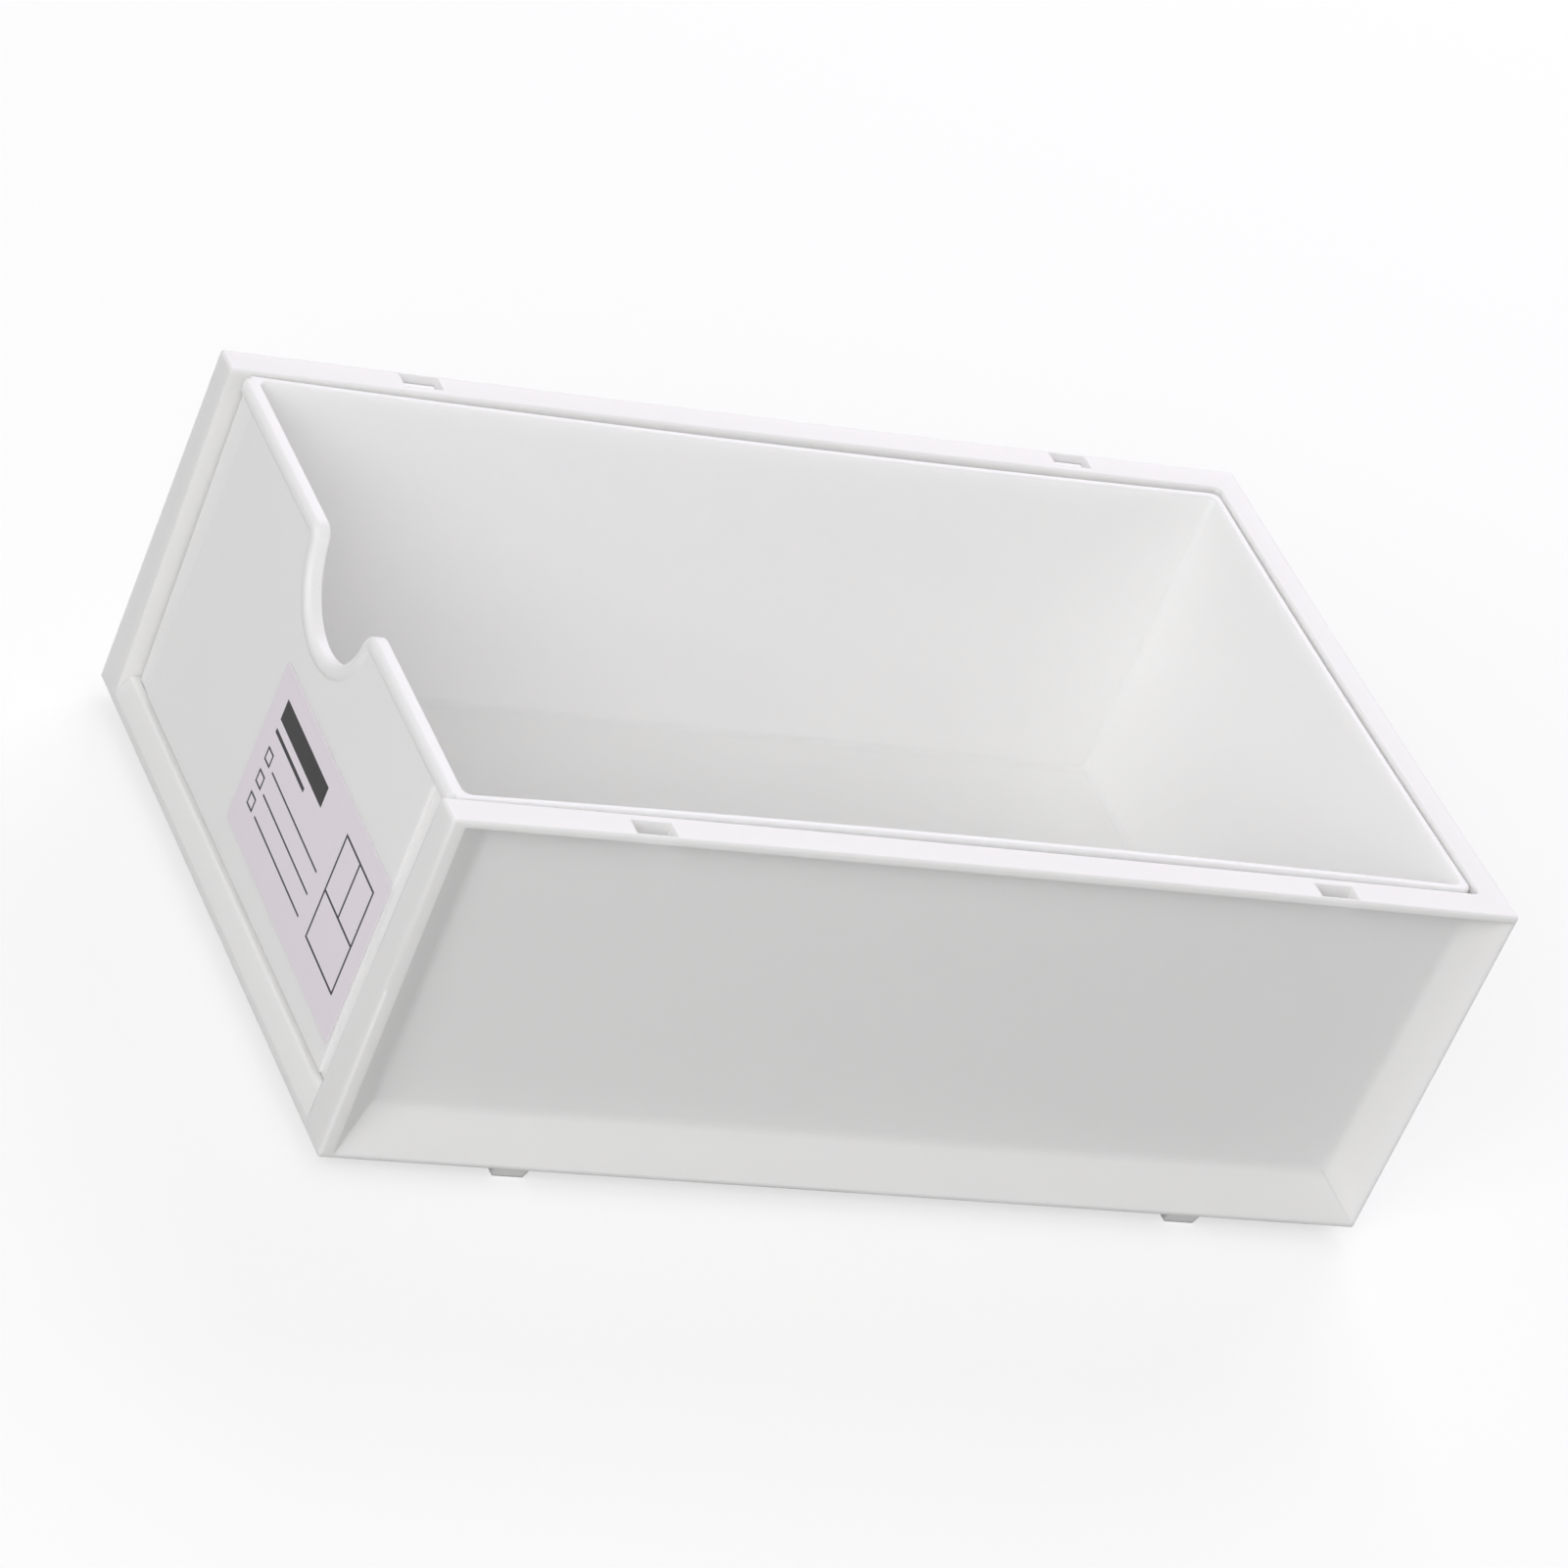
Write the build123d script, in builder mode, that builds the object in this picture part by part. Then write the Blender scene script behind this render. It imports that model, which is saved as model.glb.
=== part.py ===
from build123d import *
import os
from math import cos, radians, sqrt, tan

# A stackable drawer box for a desk: a case that is open at the front and the top, a tray that
# slides out through the open front, and a sticker on the tray's front. Sizes are in millimetres.
# X runs across, Y from front to back, Z up. The origin is on the ground, under the middle of the rim.

# Case, overall. The rim's outline is the widest; the walls lean inward from it on the way down.
case_width = 116.0
case_depth = 179.2
case_height = 61.5  # from the bottom edge to the rim, without the feet
wall_draft = 1.5  # degrees that the moulded walls lean
front_lean = 0.65  # degrees that the front frame and the tray's front lean back
case_corner = 0.5
rim_bow = 0.6  # how far the rim's outer edge bows inward at mid-span
bay_bow = 0.4  # how far the rim's inner edge does

# Case, walls and floor
side_rim = 5.4  # width of the rim's flat top
back_rim = 4.8
case_wall = 1.3
floor_height = 5.2  # from the bottom edge to the top of the floor
floor_thickness = 1.5
bay_corner = 1.0

# Case, the dished panels that thin its outside
rim_lip = 1.2  # height of the rim's outer side face
ledge_fall = 1.4  # how much the underside of the rim falls towards the panel
flange_lip = 2.2  # side face of the front frame
post_lip = 0.6  # side face of the back corners
base_lip = 0.8  # side face along the bottom
band = 5.8  # width of the sloped bands round a panel, seen square on
band_blend = 2.2
underside_lip = 1.5
underside_band = 5.0
underside_blend = 1.5

# Case, sill under the open front
sill_lip = 1.7
sill_depth = 2.1  # from the front of the rim to the sill's top edge
sill_round = 0.4

# Feet under the case, and the slots in the rim that take the feet of the box above
slot_inset = 1.0  # from the side of the case to the slot
slot_width = 3.1
slot_length = 6.5
slot_gap = 0.15  # play of a foot in a slot, on each side
front_station = 32.7  # from the front of the case to the middle of the first slot
back_station = 31.5  # from the back of the case to the middle of the last slot
foot_reach = 2.5  # how far the feet stand below the bottom edge
foot_taper = 0.6  # how much narrower each side of a foot is at its tip
foot_seat = 0.15  # how far a foot's root runs past the sloped band's underside

# Tray
side_gap = 0.9  # from the case's inner side to the tray, at the back corners
front_gap = 0.35  # the same at the front corners
back_gap = 0.4
rim_drop = 0.35  # the tray's edge lies this far below the rim
front_setback = 2.8  # from the front of the rim to the tray's front wall
tray_wall = 1.5
tray_floor = 1.6
tray_bow = 1.3  # how far the long sides bow inward at mid-length, at the top
tray_back_bow = 0.6
tray_corner = 1.6
tray_front_corner = 0.8
tray_inner_corner = 1.3
tray_blend = 1.2  # between the tray's floor and walls

# Tray front: a raised panel and a rounded bead along the top edge, with a finger notch
panel_relief = 0.65
panel_margin = 12.5  # from the side of the case to the raised panel
panel_corner = 0.6
panel_rise = 0.6  # from the underside of the tray to the raised panel
bead_relief = 1.15
bead_height = 2.4
bead_round = 0.85
panel_tuck = 0.9  # how far the raised panel's top runs up behind the bead's lower edge
notch_radius = 12.2
notch_drop = 0.4  # the notch's centre lies this far below the tray's edge
shoulder_round = 2.9
crease_round = 0.2
bead_end_gap = 0.3  # from the bead's end to the tray's corner
panel_round = 0.25

# Sticker on the raised panel
label_width = 52.2
label_height = 29.4
label_thickness = 0.15
label_tilt = 1.4  # degrees that it is stuck on askew, clockwise
label_inset = 0.6  # from the raised panel's right edge
label_rise = 5.2  # from the raised panel's lower edge
label_corner = 0.4

edge_round = 0.4
cut_over = 2.0  # how far a cut runs past the surface that it opens

# Levels and planes that follow from the sizes above
half_width = case_width / 2
front_edge = -case_depth / 2
back_edge = case_depth / 2
bottom_edge = foot_reach
rim_top = bottom_edge + case_height
bay_floor = bottom_edge + floor_height
tray_top = rim_top - rim_drop
draft_slope = tan(radians(wall_draft))
front_slope = tan(radians(front_lean))


def front_at(level):
    """Where the leaning front of the case lies at a height."""
    return front_edge + (rim_top - level) * front_slope


def back_at(level):
    """Where the leaning back of the case lies at a height."""
    return back_edge - (rim_top - level) * draft_slope


def plan_outline(front_half, back_half, front, back, side_bow, back_bow, front_corner, back_corner):
    """A box outline seen from above: straight in front, its sides and back bowed inward or straight."""
    waist = (front_half + back_half) / 2 - side_bow
    middle = (front + back) / 2
    with BuildSketch() as outline:
        with BuildLine():
            Line((-front_half, front), (front_half, front))
            if side_bow:
                ThreePointArc((front_half, front), (waist, middle), (back_half, back))
                ThreePointArc((-back_half, back), (-waist, middle), (-front_half, front))
            else:
                Line((front_half, front), (back_half, back))
                Line((-back_half, back), (-front_half, front))
            if back_bow:
                ThreePointArc((back_half, back), (0, back - back_bow), (-back_half, back))
            else:
                Line((back_half, back), (-back_half, back))
        make_face()
        fillet(outline.vertices().group_by(Axis.Y)[-1], back_corner)
        fillet(outline.vertices().group_by(Axis.Y)[0], front_corner)
    return outline.sketch


def framed(left_low, right_low, left_high, right_high, low, high):
    """A four-sided face with level lower and upper edges."""
    with BuildSketch() as face:
        with BuildLine():
            Polyline((left_low, low), (right_low, low), (right_high, high), (left_high, high), close=True)
        make_face()
    return face.sketch


def upright(half, low, high):
    """A rectangle about the middle, between two levels."""
    return framed(-half, half, -half, half, low, high)


# Dished panels. Each is the space outside a panel: a four-sided opening in the case's outline, whose
# sloped bands meet in mitres and run in to the panel. The side panels lean with the draft.
side_face = Plane.YZ.offset(half_width)
side_panel_face = Plane(
    origin=(half_width - side_rim + case_wall, 0, rim_top),
    x_dir=(0, 1, 0),
    z_dir=(cos(radians(wall_draft)), 0, -draft_slope * cos(radians(wall_draft))),
)
dish_low = bottom_edge + base_lip
dish_high = rim_top - rim_lip
panel_low = dish_low + band
panel_high = dish_high - ledge_fall


def up_the_lean(level):
    """The distance of a height from the rim, measured along a wall that leans with the draft."""
    return (level - rim_top) / cos(radians(wall_draft))


with BuildPart() as side_dishes:
    with BuildSketch(side_face):
        add(
            framed(
                front_at(dish_low) + flange_lip,
                back_at(dish_low) - post_lip,
                front_at(dish_high) + flange_lip,
                back_at(dish_high) - post_lip,
                dish_low,
                dish_high,
            )
        )
    with BuildSketch(side_panel_face):
        add(
            framed(
                front_at(panel_low) + flange_lip + band,
                back_at(panel_low) - post_lip - band,
                front_at(panel_high) + flange_lip + band,
                back_at(panel_high) - post_lip - band,
                up_the_lean(panel_low),
                up_the_lean(panel_high),
            )
        )
    loft(ruled=True)
    extrude(side_dishes.faces().sort_by(Axis.X)[-1], amount=cut_over)
    fillet(side_dishes.faces().sort_by(Axis.X)[0].edges(), band_blend)
    mirror(about=Plane.YZ)

back_face = Plane(
    origin=(0, back_edge, rim_top),
    x_dir=(-1, 0, 0),
    z_dir=(0, cos(radians(wall_draft)), -draft_slope * cos(radians(wall_draft))),
)
post_half = half_width - post_lip
with BuildPart() as back_dish:
    with BuildSketch(back_face):
        add(upright(post_half, up_the_lean(dish_low), up_the_lean(dish_high)))
    with BuildSketch(back_face.offset(case_wall - back_rim)):
        add(upright(post_half - band, up_the_lean(panel_low), up_the_lean(panel_high)))
    loft(ruled=True)
    extrude(back_dish.faces().sort_by(Axis.Y)[-1], amount=cut_over)
    fillet(back_dish.faces().sort_by(Axis.Y)[0].edges(), band_blend)

underside_depth = floor_height - floor_thickness
underside_front = front_at(bottom_edge) + underside_lip
underside_back = back_at(bottom_edge) - underside_lip
underside_half = half_width - underside_lip
with BuildPart() as underside_dish:
    with BuildSketch(Plane.XY.offset(bottom_edge)):
        add(upright(underside_half, underside_front, underside_back))
    with BuildSketch(Plane.XY.offset(bottom_edge + underside_depth)):
        flat_half = underside_half - underside_band
        add(upright(flat_half, underside_front + underside_band, underside_back - underside_band))
    loft(ruled=True)
    extrude(underside_dish.faces().sort_by(Axis.Z)[0], amount=cut_over)
    fillet(underside_dish.faces().sort_by(Axis.Z)[-1].edges(), underside_blend)

def case_outline(level, bow):
    """The case's outer outline at a height."""
    front = front_at(level)
    back = back_at(level)
    return plan_outline(half_width, half_width, front, back, bow, bow, case_corner, case_corner)


# Bay: the space for the tray, open in front and above.
bay_top = rim_top + cut_over
bay_half = half_width - side_rim
bay_front = front_edge - cut_over


def bay_outline(level, bow):
    """The bay's outline at a height."""
    lean = (rim_top - level) * draft_slope
    half = bay_half - lean
    back = back_edge - back_rim - lean
    return plan_outline(half, half, bay_front, back, bow, bow, bay_corner, bay_corner)


with BuildPart() as bay:
    with BuildSketch(Plane.XY.offset(bay_floor)):
        add(bay_outline(bay_floor, 0))
    with BuildSketch(Plane.XY.offset(bay_top)):
        add(bay_outline(bay_top, bay_bow))
    loft(ruled=True)

slot_middle = half_width - slot_inset - slot_width / 2
stations = [
    (side * slot_middle, place)
    for side in (-1, 1)
    for place in (front_edge + front_station, back_edge - back_station)
]
foot_width = slot_width - 2 * slot_gap
foot_length = slot_length - 2 * slot_gap
foot_inner_side = slot_inset + slot_gap + foot_width
foot_root = (foot_inner_side - underside_lip) / underside_band * underside_depth + foot_seat

with BuildPart() as case:
    # The block that the moulding is thinned from
    with BuildSketch(Plane.XY.offset(bottom_edge)):
        add(case_outline(bottom_edge, 0))
    with BuildSketch(Plane.XY.offset(rim_top)):
        add(case_outline(rim_top, rim_bow))
    loft(ruled=True)
    fillet(case.faces().sort_by(Axis.Z)[0].edges(), edge_round)
    add(bay.part, mode=Mode.SUBTRACT)
    fillet(case.faces().sort_by(Axis.Z)[-1].edges(), edge_round)
    # Sill: the floor's front edge slopes up and back, between the flanges
    with BuildSketch(Plane.YZ):
        sill_high = bottom_edge + sill_lip
        with BuildLine():
            Polyline(
                (front_edge - cut_over, sill_high),
                (front_at(sill_high), sill_high),
                (front_edge + sill_depth, bay_floor),
                (front_edge - cut_over, bay_floor),
                close=True,
            )
        make_face()
    extrude(amount=bay_half - (rim_top - bay_floor) * draft_slope, both=True, mode=Mode.SUBTRACT)
    sill_edge = case.edges().filter_by(Axis.X).sort_by_distance((0, front_edge + sill_depth, bay_floor))[0]
    fillet(sill_edge, sill_round)
    add(side_dishes.part, mode=Mode.SUBTRACT)
    add(back_dish.part, mode=Mode.SUBTRACT)
    add(underside_dish.part, mode=Mode.SUBTRACT)
    # Slots through the rim
    with BuildSketch(Plane.XY.offset(rim_top)):
        with Locations(*stations):
            Rectangle(slot_width, slot_length)
    extrude(amount=-(rim_lip + ledge_fall + cut_over), mode=Mode.SUBTRACT)
    # Feet: a root that stands in the sloped band, and a tapered tip
    with BuildSketch(Plane.XY.offset(bottom_edge)):
        with Locations(*stations):
            Rectangle(foot_width, foot_length)
    extrude(amount=foot_root)
    for place in stations:
        with BuildSketch(Plane.XY.offset(bottom_edge)):
            with Locations(place):
                Rectangle(foot_width, foot_length)
        with BuildSketch(Plane.XY):
            with Locations(place):
                Rectangle(foot_width - 2 * foot_taper, foot_length - 2 * foot_taper)
        loft(ruled=True)
case.part.label = "case"

# Tray: the front wall leans back with the case's front, the other walls with the draft.
tray_half = bay_half - side_gap
tray_front_half = bay_half - front_gap
tray_front = front_edge + front_setback
tray_back = back_edge - back_rim - back_gap
front_face = Plane(
    origin=(0, tray_front, rim_top),
    x_dir=(1, 0, 0),
    z_dir=(0, -cos(radians(front_lean)), -front_slope * cos(radians(front_lean))),
)


def tray_outline(level, inset, bow_share, front_corner, back_corner):
    """The tray's outline at a height, moved in by inset, with a share of the full bow."""
    lean = (rim_top - level) * draft_slope
    return plan_outline(
        tray_front_half - lean - inset,
        tray_half - lean - inset,
        front_at(level) + front_setback + inset,
        tray_back - lean - inset,
        tray_bow * bow_share,
        tray_back_bow * bow_share,
        front_corner,
        back_corner,
    )


with BuildPart() as tray_space:
    with BuildSketch(Plane.XY.offset(bay_floor + tray_floor)):
        add(tray_outline(bay_floor + tray_floor, tray_wall, 0, tray_inner_corner, tray_inner_corner))
    with BuildSketch(Plane.XY.offset(tray_top + cut_over)):
        add(tray_outline(tray_top + cut_over, tray_wall, 1, tray_inner_corner, tray_inner_corner))
    loft(ruled=True)
    fillet(tray_space.faces().sort_by(Axis.Z)[0].edges(), tray_blend)

tray_edge = (tray_top - rim_top) / cos(radians(front_lean))
notch_centre = tray_edge - notch_drop


def space_above_edge(growth):
    """The space above the front wall's notched edge, on the front wall's plane, grown all round."""
    edge = tray_edge - growth
    radius = notch_radius + growth
    shoulder = sqrt(radius**2 - (edge - notch_centre) ** 2)
    far = case_width
    with BuildSketch() as space:
        with BuildLine():
            ThreePointArc((-shoulder, edge), (0, notch_centre - radius), (shoulder, edge))
            Polyline(
                (shoulder, edge),
                (far, edge),
                (far, tray_edge + cut_over),
                (-far, tray_edge + cut_over),
                (-far, edge),
                (-shoulder, edge),
            )
        make_face()
        shoulders = space.vertices().sort_by(lambda corner: abs(corner.X))[:2]
        fillet(shoulders, max(shoulder_round - growth, crease_round))
    return space.sketch


above_edge = space_above_edge(0)
above_bead_foot = space_above_edge(bead_height)
above_panel = space_above_edge(bead_height - panel_tuck)

panel_half = half_width - panel_margin
panel_foot = (bay_floor + panel_rise - rim_top) / cos(radians(front_lean))
bead_half = tray_front_half - tray_front_corner - bead_end_gap

with BuildPart() as bead:
    with BuildSketch(front_face):
        with Locations((0, tray_edge)):
            Rectangle(2 * bead_half, 2 * (notch_radius + bead_height + notch_drop))
        add(above_edge, mode=Mode.SUBTRACT)
        add(above_bead_foot, mode=Mode.INTERSECT)
    extrude(amount=bead_relief, dir=(0, -1, 0))
    extrude(bead.faces().sort_by(Axis.Y)[-1], amount=tray_wall, dir=(0, 1, 0))
    fillet(bead.faces().sort_by(Axis.Y)[0].edges(), bead_round)

with BuildPart() as raised_panel:
    with BuildSketch(front_face) as panel_shape:
        add(upright(panel_half, panel_foot, tray_edge))
        add(above_panel, mode=Mode.SUBTRACT)
        corners = panel_shape.vertices().sort_by(lambda corner: -abs(corner.X) - corner.Y / case_height)
        fillet(corners[:2], panel_corner)
    extrude(amount=panel_relief, dir=(0, -1, 0))
    fillet(raised_panel.faces().sort_by(Axis.Y)[0].edges(), panel_round)

with BuildPart() as drawer:
    with BuildSketch(Plane.XY.offset(bay_floor)):
        add(tray_outline(bay_floor, 0, 0, tray_front_corner, tray_corner))
    with BuildSketch(Plane.XY.offset(tray_top)):
        add(tray_outline(tray_top, 0, 1, tray_front_corner, tray_corner))
    loft(ruled=True)
    fillet(drawer.faces().sort_by(Axis.Z)[-1].edges(), edge_round)
    add(tray_space.part, mode=Mode.SUBTRACT)
    with BuildSketch(front_face):
        add(above_edge)
    extrude(amount=cut_over + tray_wall, dir=(0, 1, 0), both=True, mode=Mode.SUBTRACT)
    add(raised_panel.part)
    add(bead.part)
    inner_edges = [
        edge
        for edge in drawer.faces().sort_by(Axis.Z)[-1].edges()
        if abs(edge.center().X) < tray_half - tray_bow - tray_wall / 2
        and tray_front + tray_wall / 2 < edge.center().Y < tray_back - tray_back_bow - tray_wall / 2
        and edge.length > 2 * tray_wall
    ]
    fillet(inner_edges, edge_round)
drawer.part.label = "drawer"

with BuildPart() as label:
    with BuildSketch(front_face.offset(panel_relief * cos(radians(front_lean)))):
        label_across = panel_half - label_inset - label_width / 2
        with Locations((label_across, panel_foot + label_rise + label_height / 2)):
            RectangleRounded(label_width, label_height, label_corner, rotation=-label_tilt)
    extrude(amount=label_thickness, dir=(0, -1, 0))
label.part.label = "label"

os.makedirs("parts", exist_ok=True)
for piece in (case, drawer, label):
    export_step(piece.part, f"parts/{piece.part.label}.step")
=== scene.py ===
# A stackable drawer box for small stationery: an open-topped case and a tray that slides out of its
# open front, both moulded in white polypropylene, with a small index sticker on the tray's front.
# All lengths are in metres, in the row's own frame: X across, Y from front to back, Z up.

from functools import reduce
from math import radians

import bpy
from mathutils import Matrix, Vector


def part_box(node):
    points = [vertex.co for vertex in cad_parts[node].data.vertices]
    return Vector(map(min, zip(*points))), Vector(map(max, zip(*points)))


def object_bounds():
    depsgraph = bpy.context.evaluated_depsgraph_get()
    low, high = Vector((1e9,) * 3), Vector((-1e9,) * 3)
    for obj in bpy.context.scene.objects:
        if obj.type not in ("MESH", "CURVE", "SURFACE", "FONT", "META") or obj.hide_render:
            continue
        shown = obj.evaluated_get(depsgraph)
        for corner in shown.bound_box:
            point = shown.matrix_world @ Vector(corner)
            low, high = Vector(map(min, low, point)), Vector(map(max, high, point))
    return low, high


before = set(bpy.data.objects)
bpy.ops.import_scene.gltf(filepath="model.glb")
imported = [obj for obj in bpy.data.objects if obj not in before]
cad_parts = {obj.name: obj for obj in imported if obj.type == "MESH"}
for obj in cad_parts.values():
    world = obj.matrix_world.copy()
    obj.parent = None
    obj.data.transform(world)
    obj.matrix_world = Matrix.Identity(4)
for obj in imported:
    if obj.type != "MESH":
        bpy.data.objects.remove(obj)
cad_low, cad_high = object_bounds()


# ---- Case -----------------------------------------------------------------------------------
# The outer case is one injection moulding of white polypropylene, 1.3 mm thick, with satin faces
# and small rounded edges. Floor, walls, rim, front frame, slots and feet are one piece, so it gets
# one finish: milky, so that light seeps through the thin walls, with the melt's faint ripple.

class Value:
    """A number or colour on its way through a finish. Sums on numbers add their Math nodes."""

    def __init__(self, finish, socket):
        self.finish = finish
        self.socket = socket

    def maths(self, operation, *terms, clamp=False):
        settings = {"operation": operation, "use_clamp": clamp}
        return self.finish.node("Math", settings, dict(enumerate(terms)))

    def __add__(self, other):
        return self.maths("ADD", self, other)

    def __sub__(self, other):
        return self.maths("SUBTRACT", self, other)

    def __rsub__(self, other):
        return self.maths("SUBTRACT", other, self)

    def __mul__(self, other):
        return self.maths("MULTIPLY", self, other)

    def __abs__(self):
        return self.maths("ABSOLUTE", self)

    __radd__ = __add__
    __rmul__ = __mul__


class Finish:
    """The look of a surface or of the room, and the one way in which its nodes are added."""

    def __init__(self, owner, shader="Principled BSDF", **plain):
        owner.use_nodes = True
        self.owner = owner
        self.tree = owner.node_tree
        self.shader = self.tree.nodes[shader]
        for socket, value in plain.items():
            self.set(socket.replace("_", " "), value)

    def set(self, socket, value):
        self.feed(self.shader.inputs[socket], value)

    def feed(self, socket, value):
        if isinstance(value, Value):
            self.tree.links.new(value.socket, socket)
        else:
            socket.default_value = value

    def node(self, kind, settings=None, inputs=None, output=0):
        """Adds a node: its type, its settings, then the values or links of its sockets."""
        made = self.tree.nodes.new("ShaderNode" + kind)
        for setting, value in (settings or {}).items():
            setattr(made, setting, value)
        for socket, value in (inputs or {}).items():
            self.feed(made.inputs[socket], value)
        return Value(self, made.outputs[output])

    def place(self):
        """Where a point lies on the piece, in metres."""
        return self.node("TexCoord", output="Object")

    def noise(self, size, detail):
        """A cloudy value from 0 to 1 whose clouds are about one size across."""
        clouds = {"Vector": self.place(), "Scale": 1 / size, "Detail": detail}
        return self.node("TexNoise", None, clouds)

    def between(self, share, first, second):
        """A colour between two others."""
        # The node's colour sockets share their names with others, so they go by their numbers.
        first_colour, second_colour, mixed_colour = 6, 7, 2
        colours = {"Factor": share, first_colour: first, second_colour: second}
        return self.node("Mix", {"data_type": "RGBA"}, colours, output=mixed_colour)

    def cover(self, node):
        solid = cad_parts[node]
        solid.data.materials.clear()
        solid.data.materials.append(self.owner)


def moulded(name, white, cloudy_white):
    """Satin polypropylene straight from the mould, with its corners a little rounded."""
    flow_size = 0.028
    grain_size = 0.0009
    satin = 0.36
    flow_dulling = 0.06
    grain_dulling = 0.05
    flow_swell = 0.35
    grain_swell = 0.012
    swell_height = 0.0003
    edge_radius = 0.0004
    finish = Finish(
        bpy.data.materials.new(name), Specular_IOR_Level=0.42, IOR=1.49, Subsurface_Weight=1.0,
        Subsurface_Scale=0.0012, Subsurface_Radius=(1.0, 0.97, 0.93))
    flow = finish.noise(flow_size, detail=2.0)
    grain = finish.noise(grain_size, detail=3.0)
    finish.set("Base Color", finish.between(flow, cloudy_white, white))
    finish.set("Roughness", satin + flow_dulling * flow + grain_dulling * grain)
    rounded = finish.node("Bevel", {"samples": 6}, {"Radius": edge_radius})
    swell = flow_swell * flow + grain_swell * grain
    relief = {"Strength": 0.5, "Distance": swell_height, "Height": swell, "Normal": rounded}
    finish.set("Normal", finish.node("Bump", None, relief))
    return finish


case_white = (0.895, 0.893, 0.886, 1.0)
case_cloud = (0.882, 0.88, 0.873, 1.0)
moulded("case_white_polypropylene", case_white, case_cloud).cover("case")


# ---- Tray -----------------------------------------------------------------------------------
# The sliding tray is a second moulding, in a slightly whiter batch of the same polypropylene. Its
# front has a raised panel, a rolled bead along the top edge and a finger notch; inside it is a
# plain bin with thin walls.

tray_white = (0.98, 0.977, 0.966, 1.0)
tray_cloud = (0.965, 0.962, 0.951, 1.0)
moulded("tray_white_polypropylene", tray_white, tray_cloud).cover("drawer")


# ---- Sticker --------------------------------------------------------------------------------
# A pale lilac film sticker on the raised panel, laid on by hand and a little askew. It is an index
# label that its owner fills in: dark ink gives it a heading bar with a thin bar under it, a list of
# ruled lines with a tick box for each, and a plan of the tray with its compartments.

class Print:
    """Ink on a sticker: a drawing of bars and outlines, measured from the sticker's middle."""

    def __init__(self, across, up):
        self.across = across
        self.up = up
        self.marks = []

    def edge(self, left, right, low, high):
        """How far a point lies outside a rectangle; it is below zero inside."""
        sideways = abs(self.across - (left + right) / 2) - (right - left) / 2
        upward = abs(self.up - (low + high) / 2) - (high - low) / 2
        return sideways.maths("MAXIMUM", sideways, upward)

    def bar(self, left, right, low, high):
        self.marks.append(self.edge(left, right, low, high))

    def outline(self, left, right, low, high, line):
        self.marks.append(abs(self.edge(left, right, low, high)) - line / 2)

    def ink(self, softness):
        """1 on the ink and 0 beside it, with an edge as soft as a press leaves it."""
        nearest = reduce(lambda one, other: one.maths("MINIMUM", one, other), self.marks)
        return nearest.maths("SUBTRACT", 0.5, nearest * (1 / softness), clamp=True)


label_low, label_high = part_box("label")
label_middle = [(low + high) / 2 for low, high in zip(label_low, label_high)]
askew = radians(1.4)

sticker = Finish(bpy.data.materials.new("sticker_lilac_film"), Specular_IOR_Level=0.25)
placing = {"Vector": sticker.place(), "Location": label_middle, "Rotation": (0.0, askew, 0.0)}
on_label = sticker.node("Mapping", {"vector_type": "TEXTURE"}, placing)
drawing = Print(
    sticker.node("SeparateXYZ", None, {"Vector": on_label}, output="X"),
    sticker.node("SeparateXYZ", None, {"Vector": on_label}, output="Z"))

print_left = -0.0218
heading_right = -0.0010
heading_top = 0.0110
heading_bottom = 0.0072
thin_bar_right = -0.0075
thin_bar_top = 0.0056
thin_bar_bottom = 0.0048
drawing.bar(print_left, heading_right, heading_bottom, heading_top)
drawing.bar(print_left, thin_bar_right, thin_bar_bottom, thin_bar_top)

list_rows = 3
top_row = -0.0002
row_pitch = 0.0042
rule_left = -0.0182
rule_right = 0.0050
tick_size = 0.0021
list_line = 0.0004
for row in range(list_rows):
    level = top_row - row * row_pitch
    drawing.bar(rule_left, rule_right, level, level + list_line)
    drawing.outline(print_left, print_left + tick_size, level, level + tick_size, list_line)

plan_left = 0.0092
plan_right = 0.0222
plan_bottom = -0.0086
plan_top = 0.0104
plan_line = 0.00045
divider = (plan_left + plan_right - plan_line) / 2
crossbar = 0.0
drawing.outline(plan_left, plan_right, plan_bottom, plan_top, plan_line)
drawing.bar(divider, divider + plan_line, crossbar, plan_top)
drawing.bar(plan_left, plan_right, crossbar, crossbar + plan_line)

film_lilac = (0.91, 0.845, 0.905, 1.0)
film_shade = (0.89, 0.825, 0.885, 1.0)
ink_black = (0.012, 0.011, 0.013, 1.0)
ink_softness = 0.00006
film_grain_size = 0.0006
film_grain_height = 0.00002
film_roughness = 0.44
film_grain_dulling = 0.08
ink_gloss = 0.06
ink = drawing.ink(ink_softness)
film_grain = sticker.noise(film_grain_size, detail=3.0)
film = sticker.between(film_grain, film_shade, film_lilac)
sticker.set("Base Color", sticker.between(ink, film, ink_black))
sticker.set("Roughness", film_roughness + film_grain_dulling * film_grain - ink_gloss * ink)
film_relief = {"Strength": 0.3, "Distance": film_grain_height, "Height": film_grain}
sticker.set("Normal", sticker.node("Bump", None, film_relief))
sticker.cover("label")


# ---- Floor ----------------------------------------------------------------------------------
# A plain white studio floor. The camera and mirrored rays see it nearly as bright as the room
# behind it, while it throws less light on the box than a white floor would.

def grey(level):
    return (level, level, level, 1.0)


def seen(finish):
    """1 where a surface is looked at, also in a reflection, and 0 where it only gives light."""
    rays = [finish.node("LightPath", output=f"Is {kind} Ray")
            for kind in ("Camera", "Glossy", "Transmission")]
    return reduce(lambda one, other: one.maths("MAXIMUM", one, other), rays)


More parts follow.
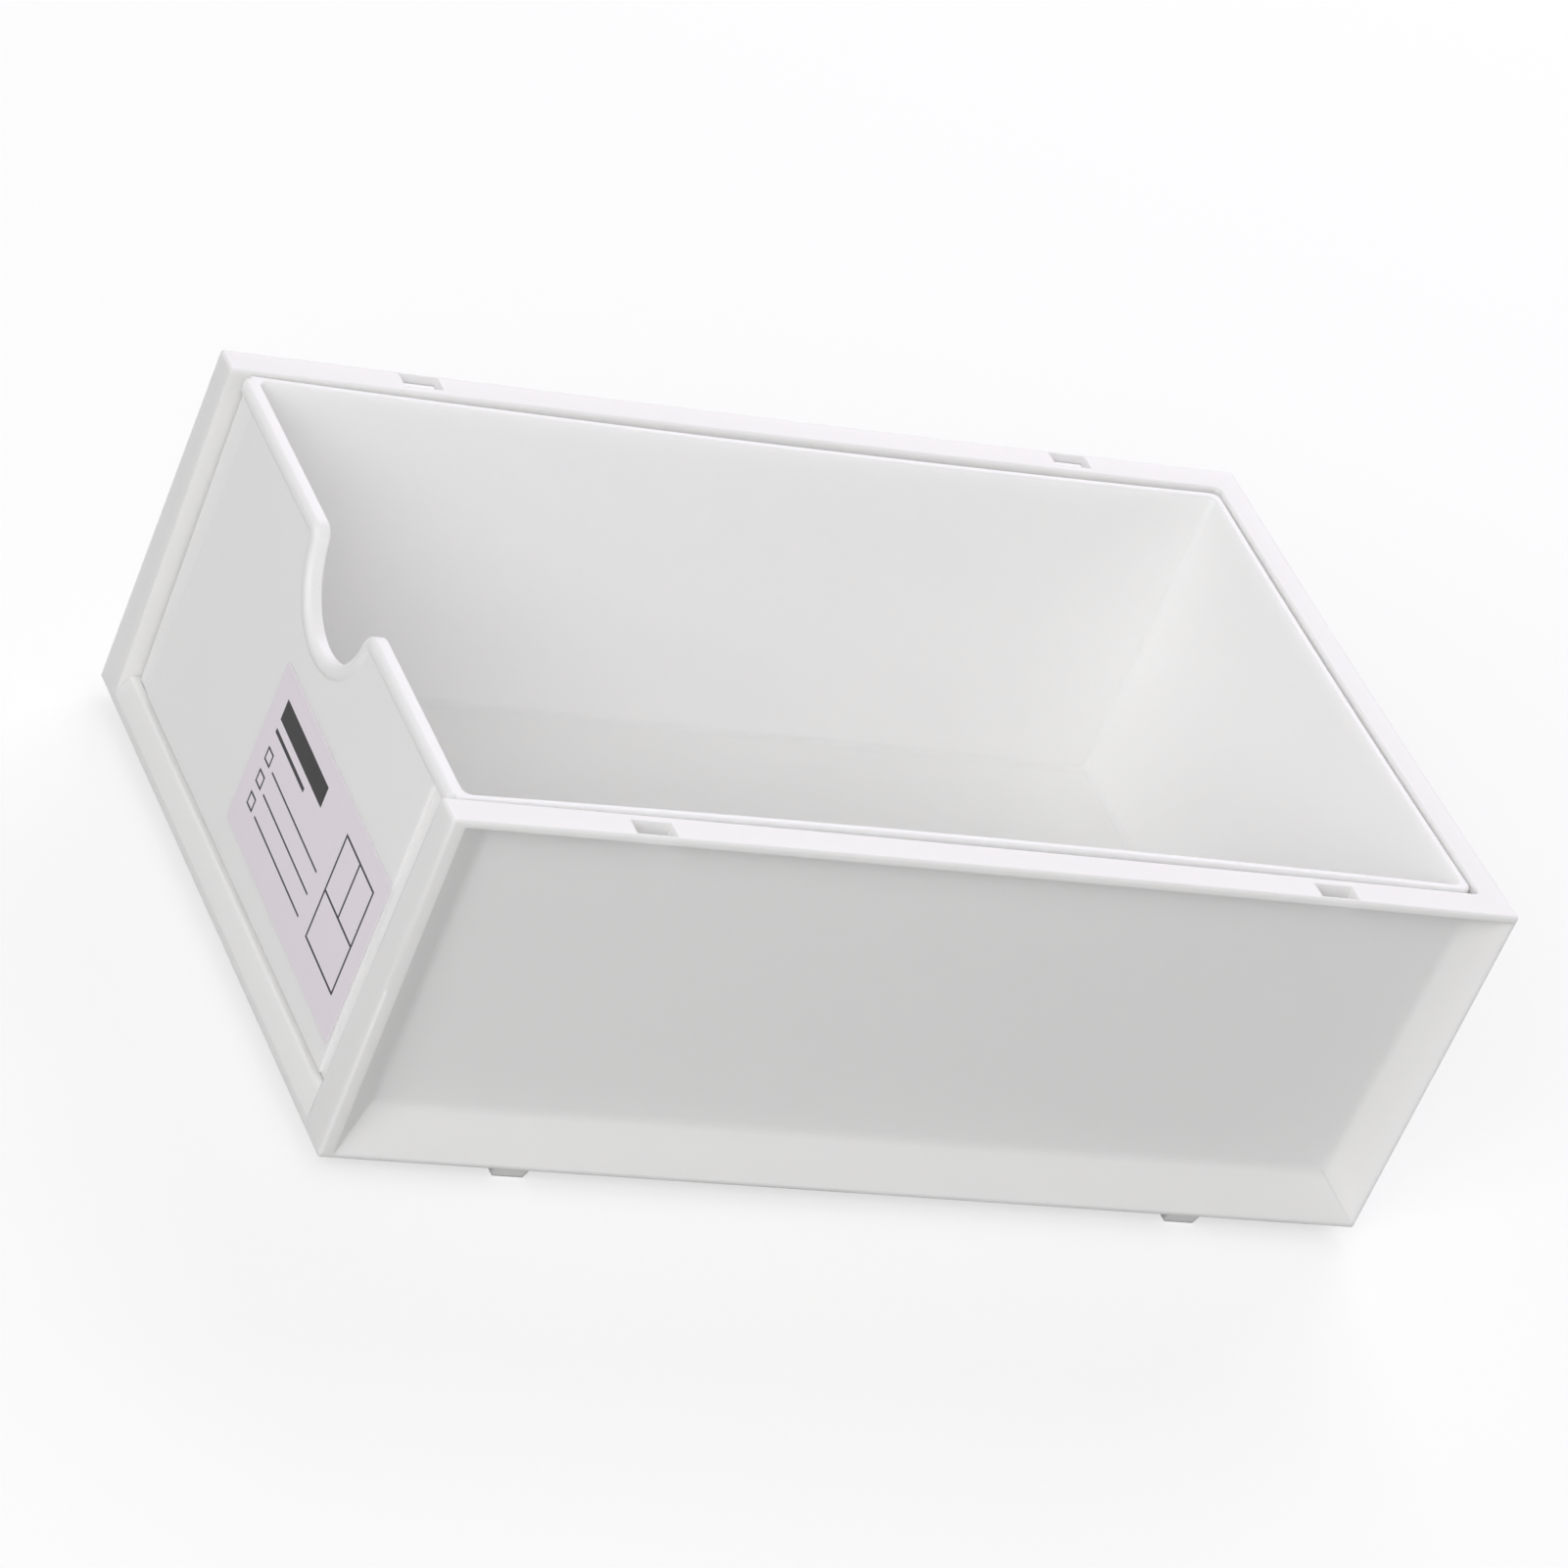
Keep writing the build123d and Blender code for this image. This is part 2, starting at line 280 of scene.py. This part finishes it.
floor_half = 6.0
floor_corners = [(-floor_half, -floor_half, 0.0), (floor_half, -floor_half, 0.0),
                 (floor_half, floor_half, 0.0), (-floor_half, floor_half, 0.0)]
floor_mesh = bpy.data.meshes.new("studio_floor")
floor_mesh.from_pydata(floor_corners, [], [range(len(floor_corners))])
studio_floor = bpy.data.objects.new("studio_floor", floor_mesh)
bpy.context.scene.collection.objects.link(studio_floor)

sheet_grey = grey(0.42)
sheet_glow = grey(0.62)
unlit = grey(0.0)
sheet = Finish(
    bpy.data.materials.new("studio_white"), Base_Color=sheet_grey, Roughness=0.9,
    Specular_IOR_Level=0.1, Emission_Strength=1.0)
sheet.set("Emission Color", sheet.between(seen(sheet), unlit, sheet_glow))
floor_mesh.materials.append(sheet.owner)


# ---- Light ----------------------------------------------------------------------------------
# A pale room lights the box from all round, though less from overhead. One softbox stands in front
# on the right, and a faintly lilac one stands behind on the left and brightens the rim.

def softbox(name, place, size, power, tint):
    light = bpy.data.lights.new(name, "AREA")
    light.shape = "DISK"
    light.size = size
    light.energy = power
    light.color = tint
    stand = bpy.data.objects.new(name, light)
    stand.location = place
    box_middle = (cad_low + cad_high) / 2
    stand.rotation_euler = (box_middle - Vector(place)).to_track_quat("-Z", "Y").to_euler()
    bpy.context.scene.collection.objects.link(stand)


softbox("front_softbox", place=(1.08, -1.20, 1.0), size=1.3, power=15.4, tint=(1.0, 1.0, 1.0))
softbox("back_softbox", place=(-1.3, 0.95, 1.1), size=1.4, power=15.0, tint=(0.96, 0.89, 1.0))

white = grey(1.0)
horizon_grey = grey(0.66)
overhead_grey = grey(0.23)
room = Finish(bpy.data.worlds.new("studio_room"), "Background", Strength=1.0)
bpy.context.scene.world = room.owner
direction = room.node("TexCoord", output="Generated")
height = room.node("SeparateXYZ", None, {"Vector": direction}, output="Z")
walls = room.between(height * height, horizon_grey, overhead_grey)
room.set("Color", room.between(seen(room), walls, white))


# ---- Camera ---------------------------------------------------------------------------------
# A long lens looks down on the front right corner of the box from about a metre away. It is rolled
# to the left, so that the box leans as in a catalogue picture.

camera_data = bpy.data.cameras.new("catalogue_camera")
camera_data.lens = 179.9
camera_data.sensor_width = 36.0
camera_data.clip_start = 0.05
camera_data.clip_end = 30.0
camera = bpy.data.objects.new("catalogue_camera", camera_data)
bpy.context.scene.collection.objects.link(camera)
camera_place = Vector((0.85925, -0.56977, 0.63644))
camera_aim = Vector((-0.00425, -0.00054, 0.032))
lean = radians(23.904)
level_view = (camera_aim - camera_place).to_track_quat("-Z", "Y").to_matrix().to_4x4()
camera_roll = Matrix.Rotation(lean, 4, "Z")
camera.matrix_world = Matrix.Translation(camera_place) @ level_view @ camera_roll
bpy.context.scene.camera = camera

bpy.context.scene.view_settings.view_transform = "Standard"
